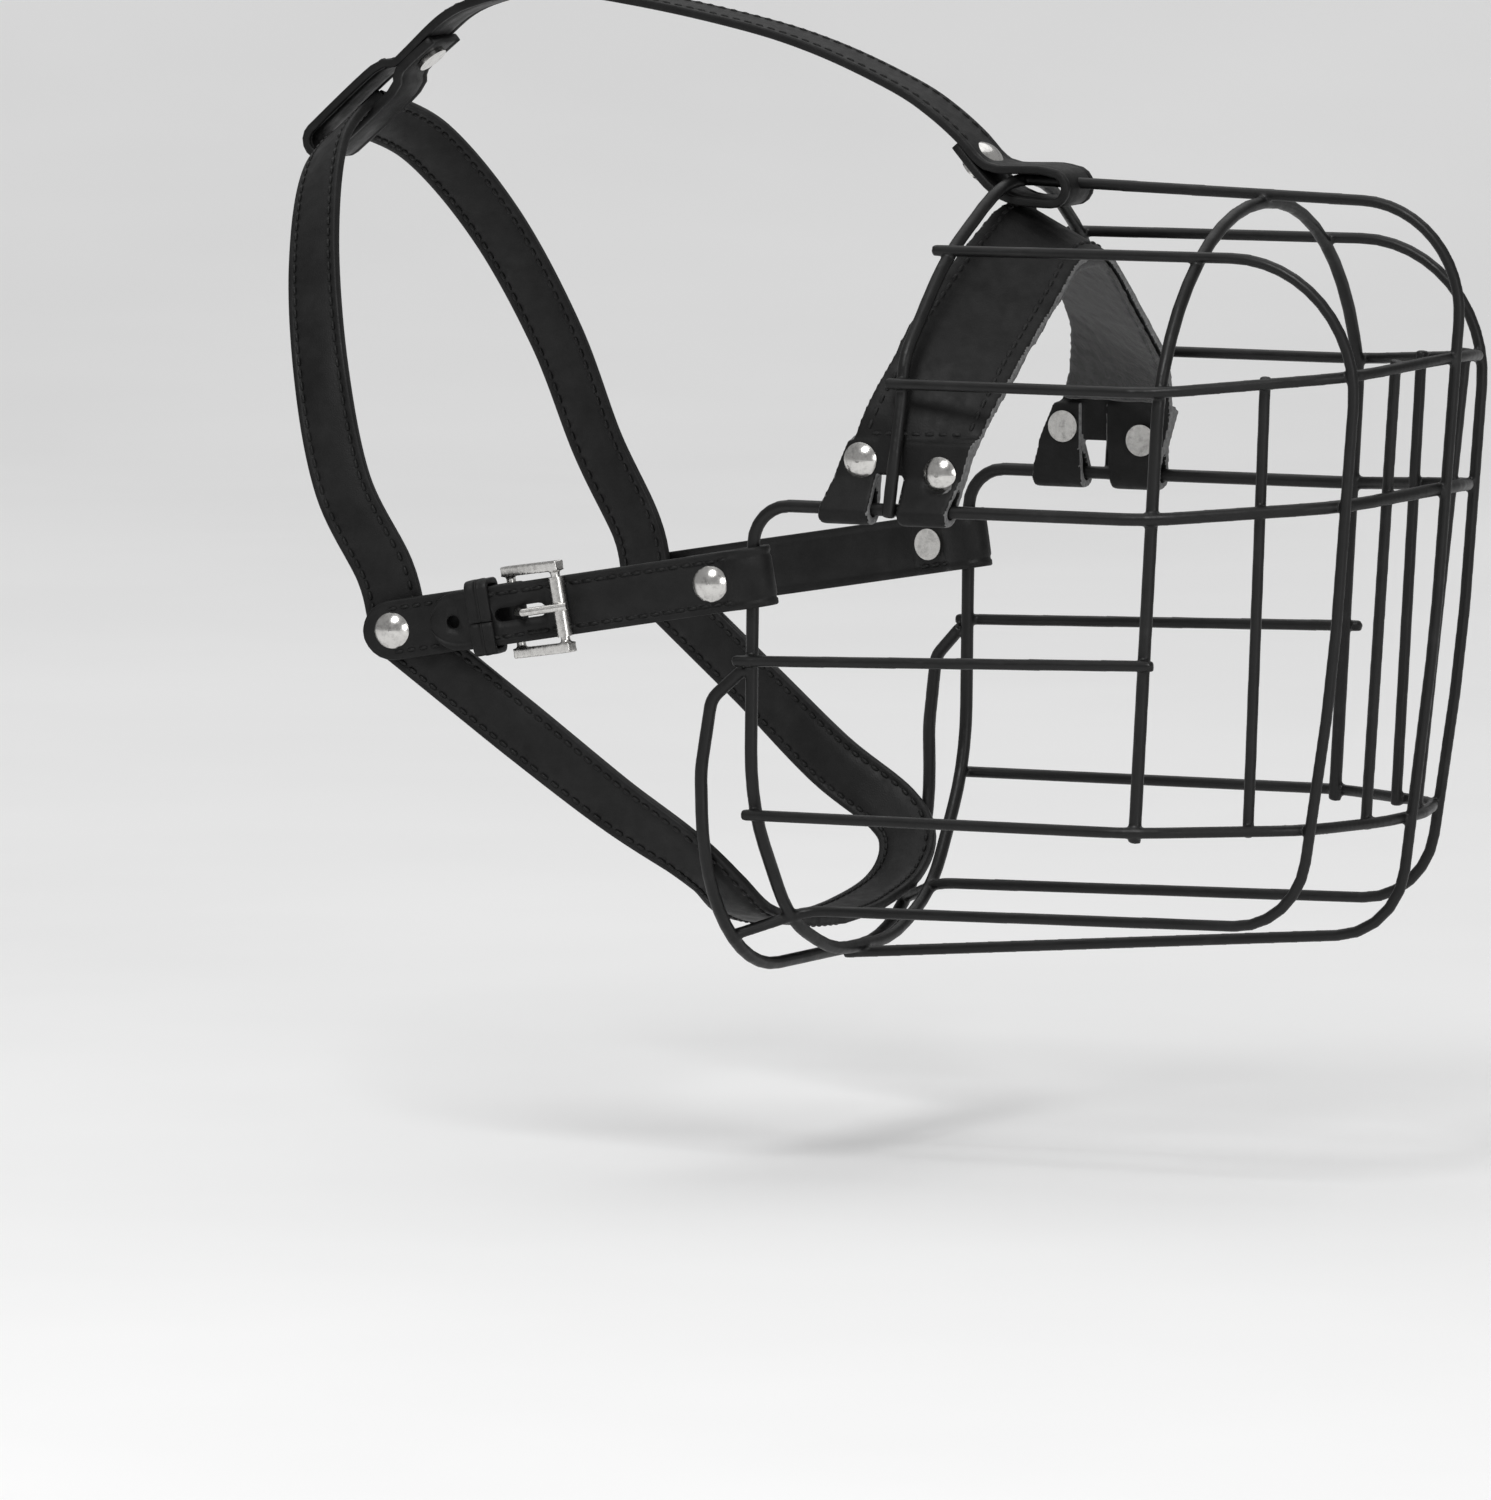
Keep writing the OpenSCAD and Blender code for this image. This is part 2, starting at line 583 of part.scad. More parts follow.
centre_wire();
right_bow_wire();
left_bow_wire();
upper_ring_wire();
rim_wire();
lower_ring_wire();
arch_wire();
rear_hoop_wire();
throat_loop_wire();
right_side_rail();
left_side_rail();
side_uprights();
front_uprights();
pad_leather();
pad_felt();
pad_rivets();
forehead_strap();
forehead_rivet();
nape_rivet();
neck_strap();
right_cheek_strap();
right_cheek_rivet();
left_cheek_strap();
left_cheek_rivet();
throat_strap();
buckle_tab();
right_junction_rivet();
left_junction_rivet();
buckle_frame();
buckle_roller();
buckle_tongue();
keeper_loop();
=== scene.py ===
import math

import bmesh
import bpy
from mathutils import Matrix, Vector
from mathutils.bvhtree import BVHTree


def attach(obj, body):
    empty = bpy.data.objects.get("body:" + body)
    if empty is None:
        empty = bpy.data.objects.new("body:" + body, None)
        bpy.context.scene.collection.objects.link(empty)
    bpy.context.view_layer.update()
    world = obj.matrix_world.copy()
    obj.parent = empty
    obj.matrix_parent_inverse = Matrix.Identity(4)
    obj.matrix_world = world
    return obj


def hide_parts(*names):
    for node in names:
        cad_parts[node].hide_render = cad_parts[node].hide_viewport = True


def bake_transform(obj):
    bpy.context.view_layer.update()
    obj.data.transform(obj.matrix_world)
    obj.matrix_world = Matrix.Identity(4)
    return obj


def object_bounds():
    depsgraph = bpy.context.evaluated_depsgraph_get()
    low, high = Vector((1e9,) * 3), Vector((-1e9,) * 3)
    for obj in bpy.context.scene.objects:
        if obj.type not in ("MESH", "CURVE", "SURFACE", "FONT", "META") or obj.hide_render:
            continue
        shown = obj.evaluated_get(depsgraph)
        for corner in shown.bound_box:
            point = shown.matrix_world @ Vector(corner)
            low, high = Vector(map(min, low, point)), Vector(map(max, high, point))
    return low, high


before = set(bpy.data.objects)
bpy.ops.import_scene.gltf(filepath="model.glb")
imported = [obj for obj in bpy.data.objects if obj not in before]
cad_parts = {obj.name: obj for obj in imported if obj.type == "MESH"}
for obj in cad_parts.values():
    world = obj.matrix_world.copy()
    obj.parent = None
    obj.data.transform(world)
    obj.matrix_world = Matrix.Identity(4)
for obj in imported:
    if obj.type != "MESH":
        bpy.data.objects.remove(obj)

cad_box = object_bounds()
MM = 0.001

# ---- Driving dimensions, in millimetres, as in the CAD part ----
STRAP_W, STRAP_T, TAB_T = 15.0, 2.4, 1.5
FOREHEAD_W, FOREHEAD_T = 16.0, 2.2
RIM_HALF_W, RIM_R = 62.5, 1.5
HOLE_R = 1.7
BUCKLE_AT, JUNCTION_AT, KEEPER_AT = 49.5, 96.0, 71.0
TOE_OUT, CHEEK_DROP = math.radians(9.9), math.radians(9.5)
CHEEK_ROOT = Vector((0, -RIM_HALF_W, 40.5))
HEEL = Vector((BUCKLE_AT + 14, -3.15, 0))
TAB_FACE = HEEL.y + TAB_T
THROAT_FACE = HEEL.y - TAB_T - 0.1
NECK_FACE = THROAT_FACE - STRAP_T - 0.1

SIDE_OUT = Vector((math.sin(TOE_OUT), -math.cos(TOE_OUT), 0))
SIDE_BACK = Vector((-math.cos(TOE_OUT), -math.sin(TOE_OUT), 0))
UP = Vector((0, 0, 1))
CHEEK_X = SIDE_BACK * math.cos(CHEEK_DROP) - UP * math.sin(CHEEK_DROP)
CHEEK_Z = SIDE_BACK * math.sin(CHEEK_DROP) + UP * math.cos(CHEEK_DROP)


def cheek_at(x, y, z=0.0):
    """A point given in the right cheek strap's own frame: along it, outwards, across it."""
    return CHEEK_ROOT + CHEEK_X * x + SIDE_OUT * y + CHEEK_Z * z


def flip(v):
    return Vector((v[0], -v[1], v[2]))


# ---- Camera, at the photograph's viewing angle ----
def make_camera():
    data = bpy.data.cameras.new("camera")
    data.lens = 480
    data.sensor_width = 36
    data.clip_end = 50
    camera = bpy.data.objects.new("camera", data)
    bpy.context.scene.collection.objects.link(camera)
    target = Vector((-0.0135, -0.0396, -0.0052))
    camera.location = target + 5 * Vector((0.4363, -0.8947, 0.0958))
    camera.rotation_euler = (target - camera.location).to_track_quat("-Z", "Y").to_euler()
    bpy.context.scene.camera = camera


make_camera()


# ---- Materials ----
class Nodes:
    """A material's node tree, with short calls for adding nodes and links."""

    def __init__(self, name, **sockets):
        self.material = bpy.data.materials.new(name)
        self.material.use_nodes = True
        self.tree = self.material.node_tree
        self.shader = self.tree.nodes["Principled BSDF"]
        for socket, value in sockets.items():
            self.shader.inputs[socket.replace("_", " ")].default_value = value
        self.place = self.add("ShaderNodeTexCoord").outputs["Object"]

    def add(self, kind, **settings):
        node = self.tree.nodes.new(kind)
        for key, value in settings.items():
            if key in node.inputs:
                node.inputs[key].default_value = value
            else:
                setattr(node, key, value)
        return node

    def link(self, a, b):
        self.tree.links.new(a, b)

    def noise(self, scale, detail=3.0, roughness=0.6):
        node = self.add("ShaderNodeTexNoise", Scale=scale, Detail=detail, Roughness=roughness)
        self.link(self.place, node.inputs["Vector"])
        return node.outputs["Fac"]

    def cells(self, scale, feature="DISTANCE_TO_EDGE"):
        node = self.add("ShaderNodeTexVoronoi", feature=feature, Scale=scale)
        self.link(self.place, node.inputs["Vector"])
        return node.outputs["Distance"]

    def ramp(self, value, stops):
        """value mapped through (position, colour or grey) stops."""
        node = self.add("ShaderNodeValToRGB")
        elements = node.color_ramp.elements
        while len(elements) < len(stops):
            elements.new(0.5)
        for element, (position, colour) in zip(elements, stops):
            element.position = position
            grey = not hasattr(colour, "__len__")
            element.color = (colour, colour, colour, 1) if grey else (*colour, 1)
        self.link(value, node.inputs["Fac"])
        return node.outputs["Color"]

    def bumps(self, *layers):
        """Bump from (height, strength, distance in millimetres) layers, one over another."""
        normal = None
        for height, strength, depth in layers:
            node = self.add("ShaderNodeBump", Strength=strength, Distance=depth * MM)
            self.link(height, node.inputs["Height"])
            if normal is not None:
                self.link(normal, node.inputs["Normal"])
            normal = node.outputs["Normal"]
        self.link(normal, self.shader.inputs["Normal"])


def coated_wire_material():
    """Satin black dipped rubber: faint orange peel, scuffs and dust."""
    m = Nodes("wire_coat", Specular_IOR_Level=0.32)
    m.link(m.ramp(m.noise(90, 5), [(0.3, 0.0045), (0.62, 0.007), (0.8, 0.016)]),
           m.shader.inputs["Base Color"])
    m.link(m.ramp(m.noise(160, 4), [(0.3, 0.34), (0.7, 0.52)]), m.shader.inputs["Roughness"])
    m.bumps((m.noise(420, 2), 0.25, 0.25), (m.noise(2600, 2), 0.12, 0.05))
    return m.material


def leather_material(name, dark, light, grain=1700, rough=(0.42, 0.6)):
    """Dyed strap leather: pebbled grain, creases, worn lighter in patches."""
    m = Nodes(name, Specular_IOR_Level=0.24)
    m.link(m.ramp(m.noise(120, 6, 0.65), [(0.32, dark), (0.6, light), (0.85, light * 1.7)]),
           m.shader.inputs["Base Color"])
    m.link(m.ramp(m.noise(300, 4), [(0.3, rough[0]), (0.7, rough[1])]),
           m.shader.inputs["Roughness"])
    m.bumps((m.noise(70, 4), 0.35, 0.5), (m.cells(grain), 0.5, 0.12), (m.noise(5000, 2), 0.3, 0.05))
    return m.material


def cut_edge_material(name, dark, light):
    """The raw, burnished side of a strap: fibres along the cut, greyer than the face."""
    m = Nodes(name, Specular_IOR_Level=0.25)
    m.link(m.ramp(m.noise(900, 5, 0.7), [(0.3, dark), (0.7, light)]), m.shader.inputs["Base Color"])
    m.link(m.ramp(m.noise(500, 3), [(0.3, 0.6), (0.7, 0.85)]), m.shader.inputs["Roughness"])
    m.bumps((m.noise(3500, 4), 0.6, 0.12), (m.noise(600, 3), 0.4, 0.2))
    return m.material


def thread_material(name, dark, light):
    """Waxed thread, with its twist as fine ridges."""
    m = Nodes(name, Specular_IOR_Level=0.3)
    m.link(m.ramp(m.noise(2500, 3), [(0.3, dark), (0.7, light)]), m.shader.inputs["Base Color"])
    m.link(m.ramp(m.noise(1200, 2), [(0.3, 0.5), (0.7, 0.7)]), m.shader.inputs["Roughness"])
    m.bumps((m.noise(6000, 2), 0.7, 0.08),)
    return m.material


def felt_material():
    """Pressed wool felt: matted fibres and a soft sheen."""
    m = Nodes("felt", Specular_IOR_Level=0.12, Sheen_Weight=0.35, Sheen_Roughness=0.5)
    m.link(m.ramp(m.noise(1400, 8, 0.75), [(0.3, 0.014), (0.7, 0.05)]),
           m.shader.inputs["Base Color"])
    m.link(m.ramp(m.noise(800, 3), [(0.3, 0.86), (0.7, 0.98)]), m.shader.inputs["Roughness"])
    m.bumps((m.noise(2400, 8, 0.8), 0.9, 0.4), (m.noise(350, 4), 0.5, 0.6))
    return m.material


def nickel_material(name, low, high):
    """Nickel plate: fine scratches, clouding and a little grime."""
    m = Nodes(name, Metallic=1.0)
    m.link(m.ramp(m.noise(600, 5, 0.7), [(0.3, (0.42, 0.41, 0.4)), (0.5, (0.66, 0.65, 0.63)),
                                         (0.8, (0.74, 0.73, 0.71))]),
           m.shader.inputs["Base Color"])
    m.link(m.ramp(m.noise(900, 6, 0.8), [(0.3, low), (0.7, high)]), m.shader.inputs["Roughness"])
    m.bumps((m.noise(1500, 3), 0.12, 0.05), (m.noise(300, 2), 0.1, 0.15))
    return m.material


WIRE = coated_wire_material()
LEATHER = leather_material("strap_leather", 0.004, 0.009)
PAD = leather_material("pad_leather", 0.0035, 0.007, grain=1300, rough=(0.5, 0.68))
EDGE = cut_edge_material("cut_edge", 0.06, 0.17)
# The pad's cut edges: greyer raw leather, with the colour raised further as a painted highlight along
# them.
PAD_EDGE_AND_HIGHLIGHT = cut_edge_material("pad_edge_and_highlight", 0.09, 0.24)
THREAD = thread_material("dark_thread", 0.004, 0.012)
PALE_THREAD = thread_material("grey_thread", 0.02, 0.055)
FELT = felt_material()
NICKEL = nickel_material("nickel", 0.14, 0.26)
STEEL = nickel_material("buckle_nickel", 0.2, 0.34)


# ---- Helpers for meshes ----
def new_object(name, mesh, materials, smooth=True):
    piece = bpy.data.objects.new(name, mesh)
    bpy.context.scene.collection.objects.link(piece)
    mesh.materials.clear()
    for material in materials:
        mesh.materials.append(material)
    if smooth:
        mesh.polygons.foreach_set("use_smooth", [True] * len(mesh.polygons))
    return piece


def cad_copy(name, nodes, materials):
    """One new piece with the shapes of these CAD nodes."""
    bm = bmesh.new()
    for node in nodes:
        bm.from_mesh(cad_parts[node].data)
    mesh = bpy.data.meshes.new(name)
    bm.to_mesh(mesh)
    bm.free()
    return new_object(name, mesh, materials)


def apply_modifiers(piece):
    """Replaces the piece's mesh with what its modifiers make."""
    evaluated = piece.evaluated_get(bpy.context.evaluated_depsgraph_get())
    mesh = bpy.data.meshes.new_from_object(evaluated)
    piece.modifiers.clear()
    piece.data = mesh
    return piece


def soften(piece, voxel, rounds, keep=1.0, swell=0.0):
    """Rebuilds the piece as one skin of small cells, smoothed so that edges and joins flow,
    then swollen by what the smoothing took off."""
    remesh = piece.modifiers.new("remesh", "REMESH")
    remesh.mode = "VOXEL"
    remesh.voxel_size = voxel * MM
    remesh.use_smooth_shade = True
    smooth = piece.modifiers.new("smooth", "SMOOTH")
    smooth.factor = 0.5
    smooth.iterations = rounds
    if swell:
        thicker = piece.modifiers.new("thicker", "DISPLACE")
        thicker.strength = swell * MM
        thicker.mid_level = 0
    if keep < 1:
        fewer = piece.modifiers.new("fewer", "DECIMATE")
        fewer.ratio = keep
    return apply_modifiers(piece)


def catmull(points, step=2.2):
    """A smooth route through the points, in steps of about this many millimetres."""
    route = []
    for i in range(len(points) - 1):
        a, b = points[max(0, i - 1)], points[i]
        c, d = points[i + 1], points[min(len(points) - 1, i + 2)]
        n = max(1, round((c - b).length / step))
        for k in range(n):
            f = k / n
            route.append(0.5 * (2 * b + (c - a) * f + (2 * a - 5 * b + 4 * c - d) * f ** 2
                                + (3 * b - a - 3 * c + d) * f ** 3))
    return route + [points[-1]]


def spread(values, points, step=2.2):
    """The same smoothing for one value per point, in the same number of steps."""
    out = []
    for i in range(len(points) - 1):
        n = max(1, round((points[i + 1] - points[i]).length / step))
        out += [values[i].lerp(values[i + 1], k / n) for k in range(n)]
    return out + [values[-1]]


def arc(centre, radius, start, end, count):
    """Points on an arc in the x-y plane, from one angle in degrees to another."""
    turns = [math.radians(start + (end - start) * k / count) for k in range(count + 1)]
    return [Vector((centre[0] + radius * math.cos(t), centre[1] + radius * math.sin(t), 0))
            for t in turns]


def section(width, thickness, groove):
    """A strap's cross-section, as (across, out, is on the cut side) from corner to corner.
    The grain side is slightly crowned and pressed in along the two stitch lines."""
    w, t = width / 2, thickness / 2
    r = min(0.55, t * 0.6)
    corner = [(math.cos(a), math.sin(a)) for a in (math.radians(d) for d in (15, 45, 75))]
    line = w - 2.1
    top = [(line + 0.7, 0.0), (line + 0.25, -groove), (line - 0.25, -groove), (line - 0.9, 0.02),
           (line * 0.45, 0.06), (0.0, 0.08)]
    right = [(w - r + r * c, t - r + r * s, True) for c, s in corner]
    right += [(x, t + h, False) for x, h in top]
    left = [(-x, y, e) for x, y, e in reversed(right[:-1])]
    face = right + left
    back = [(-x * 0.999, -t + (h if h < 0 else 0) * -1, False) for x, h in top[:4]]
    under_right = [(w - r + r * c, -(t - r + r * s), True) for c, s in corner]
    under = [(-x, y, e) for x, y, e in under_right] + back
    under += [(-x, y, e) for x, y, e in reversed(back)]
    return face + under + list(reversed(under_right))


class Strap:
    """A leather strap swept along a route, with its stitches, built up into one mesh."""

    def __init__(self, name, points, across, width=STRAP_W, thickness=STRAP_T, groove=0.28,
                 round_start=False, round_end=False, open_end=False, step=2.2):
        self.name, self.width, self.thickness = name, width, thickness
        self.bm = bmesh.new()
        self.route = catmull(points, step)
        wide = spread(across, points, step)
        n = len(self.route)
        self.ahead = []
        for i in range(n):
            self.ahead.append((self.route[min(n - 1, i + 1)] - self.route[max(0, i - 1)]).normalized())
        self.side = [(wide[i] - self.ahead[i] * wide[i].dot(self.ahead[i])).normalized()
                     for i in range(n)]
        self.out = [self.ahead[i].cross(self.side[i]).normalized() for i in range(n)]
        self.at = [0.0]
        for i in range(1, n):
            self.at.append(self.at[-1] + (self.route[i] - self.route[i - 1]).length)
        self.length = self.at[-1]
        self.skin(groove, round_start, round_end, open_end)

    def frame_at(self, s):
        """Place, side and outward directions at a distance along the strap."""
        s = min(max(s, 0), self.length)
        i = next((k for k in range(len(self.at) - 1) if self.at[k + 1] >= s), len(self.at) - 2)
        f = (s - self.at[i]) / max(1e-9, self.at[i + 1] - self.at[i])
        return (self.route[i].lerp(self.route[i + 1], f),
                self.side[i].lerp(self.side[i + 1], f).normalized(),
                self.out[i].lerp(self.out[i + 1], f).normalized())

    def skin(self, groove, round_start, round_end, open_end):
        profile = section(self.width, self.thickness, groove)
        half = self.width / 2
        stations = list(self.at)
        for near, wanted in ((0.0, round_start), (self.length, round_end)):
            if wanted:
                stations = [s for s in stations if abs(s - near) > half]
                tip = [half * (1 - math.cos(math.radians(a))) for a in (4, 14, 26, 40, 55, 72, 90)]
                stations += [abs(near - d) for d in tip]
        stations.sort()
        rings = []
        for s in stations:
            squeeze = 1.0
            for near, wanted in ((0.0, round_start), (self.length, round_end)):
                d = abs(near - s)
                if wanted and d < half:
                    squeeze = max(0.12, math.sqrt(max(0.0, 1 - (1 - d / half) ** 2)))
            p, side, out = self.frame_at(s)
            rings.append([self.bm.verts.new((p + side * x * squeeze + out * y) * MM)
                          for x, y, _ in profile])
        m = len(profile)
        for a, b in zip(rings, rings[1:]):
            for j in range(m):
                k = (j + 1) % m
                quad = self.bm.faces.new((a[j], a[k], b[k], b[j]))
                quad.material_index = 1 if profile[j][2] and profile[k][2] else 0
        if not open_end or open_end == "end":
            self.bm.faces.new(rings[0]).material_index = 1
        if not open_end or open_end == "start":
            self.bm.faces.new(list(reversed(rings[-1]))).material_index = 1

    def stitches(self, start, end, sides=(-1, 1), faces=(1,), inset=2.1, pitch=3.3, size=0.42):
        """Rows of stitches between two distances along, on the outer (1) or inner (-1) face."""
        count = max(1, round((end - start) / pitch))
        for k in range(count):
            s = start + (end - start) * (k + 0.5) / count
            for row in sides:
                for face in faces:
                    p, side, out = self.frame_at(s)
                    ahead = side.cross(out)
                    centre = p + side * row * (self.width / 2 - inset) + out * face * (
                        self.thickness / 2 - size * 0.15)
                    add_stitch(self.bm, centre, ahead, out * face, pitch * 0.36, size, 2)

    def finish(self, materials, body, *nodes):
        bmesh.ops.recalc_face_normals(self.bm, faces=self.bm.faces)
        mesh = bpy.data.meshes.new(self.name)
        self.bm.to_mesh(mesh)
        self.bm.free()
        piece = new_object(self.name, mesh, materials)
        if nodes:
            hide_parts(*nodes)
        if body:
            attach(piece, body)
        return piece


def add_stitch(bm, centre, ahead, out, half_length, radius, material, sides=6):
    """One thread capsule that dips into the leather at both ends. Millimetres."""
    ahead = ahead.normalized()
    across = ahead.cross(out).normalized()
    out = across.cross(ahead).normalized()
    rings = []
    for f, size, lift in ((-1, 0.45, -0.75), (-0.72, 0.9, -0.05), (0, 1, 0.2),
                          (0.72, 0.9, -0.05), (1, 0.45, -0.75)):
        ring = []
        for j in range(sides):
            t = 2 * math.pi * j / sides
            p = centre + ahead * half_length * f + out * radius * lift
            p = p + (across * math.cos(t) * 1.15 + out * math.sin(t)) * radius * size
            ring.append(bm.verts.new(p * MM))
        rings.append(ring)
    for a, b in zip(rings, rings[1:]):
        for j in range(sides):
            k = (j + 1) % sides
            bm.faces.new((a[j], a[k], b[k], b[j])).material_index = material
    bm.faces.new(rings[0]).material_index = material
    bm.faces.new(list(reversed(rings[-1]))).material_index = material


# ---- Cage: all the wires under one dipped coat, which fills their crossings ----
def make_cage():
    wires = [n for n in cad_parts
             if n.endswith(("_wire", "_rail", "_uprights"))]
    cage = soften(cad_copy("wire_cage", wires, [WIRE]), 0.5, 3, 0.5, swell=0.17)
    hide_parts(*wires)
    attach(cage, "cage")


make_cage()


# ---- Nose pad ----
def make_pad():
    pad = soften(cad_copy("nose_pad", ["pad_leather"], [PAD, PAD_EDGE_AND_HIGHLIGHT, THREAD]), 0.62, 4)
    lean = Vector((math.cos(math.radians(26.8)), 0, -math.sin(math.radians(26.8))))
    # Faces turned forward or back along the pad's lean are its cut edges; they take the cut-edge
    # colour, which holds a painted highlight.
    for face in pad.data.polygons:
        steep = abs(face.normal.dot(lean))
        face.material_index = 1 if steep > 0.62 else 0
    tree = BVHTree.FromPolygons([v.co.copy() for v in pad.data.vertices],
                                [p.vertices[:] for p in pad.data.polygons])
    bm = bmesh.new()
    bm.from_mesh(pad.data)
    for run in pad_rows():
        length = sum((b - a).length for a, b in zip(run, run[1:]))
        count = round(length / 3.4)
        for k in range(count):
            p, ahead = along(run, (k + 0.5) / count * length)
            hit, normal, _, _ = tree.find_nearest(p * MM)
            add_stitch(bm, hit / MM, ahead, normal, 1.3, 0.46, 2)
    bm.to_mesh(pad.data)
    bm.free()
    pad.data.polygons.foreach_set("use_smooth", [True] * len(pad.data.polygons))
    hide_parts("pad_leather")
    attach(pad, "cage")


def along(run, s):
    """The point and direction at a distance along a polyline."""
    for a, b in zip(run, run[1:]):
        d = (b - a).length
        if s <= d:
            return a.lerp(b, s / d), (b - a).normalized()
        s -= d
    return run[-1], (run[-1] - run[-2]).normalized()


def edge_x(z, rear):
    """How far forward the pad's front or rear edge stands at a height."""
    points = ([(67, 22), (76.5, 27), (96, 34), (117, 37.5), (133, 41.8)] if rear
              else [(67, 56.5), (73, 58.6), (88, 62.4), (112, 64.4), (124, 64.6)])
    for (z0, x0), (z1, x1) in zip(points, points[1:]):
        if z <= z1 or z1 == points[-1][0]:
            return x0 + (x1 - x0) * (z - z0) / (z1 - z0)


def pad_surface(x, z, side):
    """The pad's outer face seen at x and z from one side, by a ray into the CAD solid."""
    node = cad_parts["pad_leather"]
    start = Vector((x, side * 90, z)) * MM
    hit, place, _, _ = node.ray_cast(start, Vector((0, -side, 0)))
    return place / MM if hit else None


def pad_rows():
    """Stitch runs: along the front and rear edges, and the bottom seam on each side."""
    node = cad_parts["pad_leather"]
    runs = []
    for rear in (False, True):
        inset = 3.2 if rear else -3.2
        half = []
        for k in range(60):
            z = 78.0 + k * 1.0
            p = pad_surface(edge_x(z, rear) + inset, z, -1)
            if p is None or abs(p.y) < 12:
                break
            half.append(p)
        last = half[-1]
        top = []
        for k in range(1, 8):
            y = last.y * (1 - k / 8)
            hit, place, _, _ = node.ray_cast(Vector((last.x, y, 170)) * MM, Vector((0, 0, -1)))
            if hit:
                top.append(place / MM)
        over = half + top
        runs.append(over + [flip(p) for p in reversed(over)])
    for side in (-1, 1):
        z = 77.5
        xs = [edge_x(z, True) + 4 + k for k in range(int(edge_x(z, False) - edge_x(z, True) - 7))]
        seam = [pad_surface(x, z, side) for x in xs]
        runs.append([p for p in seam if p is not None])
    return runs


make_pad()


def make_felt():
    felt = soften(cad_copy("pad_felt_lining", ["pad_felt"], [FELT]), 0.75, 5)
    clouds = bpy.data.textures.new("felt_lumps", "CLOUDS")
    clouds.noise_scale = 0.004
    lumps = felt.modifiers.new("lumps", "DISPLACE")
    lumps.texture = clouds
    lumps.strength = 0.5 * MM
    lumps.mid_level = 0.6
    apply_modifiers(felt)
    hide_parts("pad_felt")
    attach(felt, "cage")


make_felt()


# ---- Side straps, drawn flat in the cheek frame and mirrored for the left ----
def placed(flat, left=False):
    points = [cheek_at(p.x, p.y, p.z) for p in flat]
    return [flip(p) for p in points] if left else points


def fold(x, r, t, straight, taper, tail):
    """Centre line of a ply folded round a wire: from the inner tail's end, round the wire at x,
    to where the outer ply lies flat."""
    mid = r + t / 2
    inner = [Vector((x + straight + taper + tail, -t / 2, 0)),
             Vector((x + straight + taper + tail * 0.4, -t / 2, 0)),
             Vector((x + straight + taper, -t / 2, 0)), Vector((x + straight, -mid, 0))]
    turn = arc((x, 0), mid, 270, 90, 8)
    outer = [Vector((x + straight, mid, 0)), Vector((x + straight + taper, t / 2, 0))]
    return inner + turn + outer


def hole_edge(x, start, end, step):
    """Points on a punched hole's edge, its centre x along the strap, between two angles."""
    return [(x + HOLE_R * math.cos(math.radians(a)), HOLE_R * math.sin(math.radians(a)))
            for a in range(start, end, step)]


def punch(piece, shape):
    """Cuts an opening through the right cheek strap, from an outline along and across it."""
    count = len(shape)
    bm = bmesh.new()
    deep, high = [[bm.verts.new(cheek_at(x, y, z) * MM) for x, z in shape] for y in (-4, 6)]
    bm.faces.new(deep)
    bm.faces.new(list(reversed(high)))
    for j in range(count):
        k = (j + 1) % count
        bm.faces.new((deep[j], high[j], high[k], deep[k]))
    bmesh.ops.recalc_face_normals(bm, faces=bm.faces)
    mesh = bpy.data.meshes.new("cutter")
    bm.to_mesh(mesh)
    bm.free()
    cutter = bpy.data.objects.new("cutter", mesh)
    bpy.context.scene.collection.objects.link(cutter)
    cut = piece.modifiers.new("cut", "BOOLEAN")
    cut.operation = "DIFFERENCE"
    cut.solver = "EXACT"
    cut.use_self = True
    cut.object = cutter
    apply_modifiers(piece)
    bpy.data.objects.remove(cutter)


def make_cheek_straps():
    sides = CHEEK_Z
    start = fold(-0.8, RIM_R + 0.5, STRAP_T, 4, 3.5, 9.7)
    tip = 84.5
    flat = start + [Vector((x, STRAP_T / 2, 0)) for x in (16.4, 30, 45, 60, 75, tip)]
    strap = Strap("right_cheek_strap_leather", placed(flat), [sides] * len(flat), round_end=True)
    lead = strap.length - tip
    strap.stitches(lead + 5, lead + 73, faces=(-1,))
    strap.stitches(1.5, 11.5, faces=(-1,))
    piece = strap.finish([LEATHER, EDGE, PALE_THREAD], "right_cheek", "right_cheek_strap")
    middle, reach = HEEL.x - 2.75, 5.05
    slot = hole_edge(middle + reach, -90, 91, 30) + hole_edge(middle - reach, 90, 271, 30)
    punch(piece, slot)
    punch(piece, hole_edge(HEEL.x + 15, 0, 360, 20))

    centre = TAB_FACE - STRAP_T / 2
    flat = start + [Vector(p + (0,)) for p in ((16.4, STRAP_T / 2), (40, STRAP_T / 2),
                                              (70, centre), (89, centre), (103.5, centre))]
    strap = Strap("left_cheek_strap_leather", placed(flat, True), [sides_left()] * len(flat),
                  round_end=True)
    lead = strap.length - 103.5
    strap.stitches(lead + 5, lead + 92)
    strap.stitches(1.5, 11.5)
    strap.finish([LEATHER, EDGE, PALE_THREAD], "left_cheek", "left_cheek_strap")


def sides_left():
    return flip(CHEEK_Z)


make_cheek_straps()


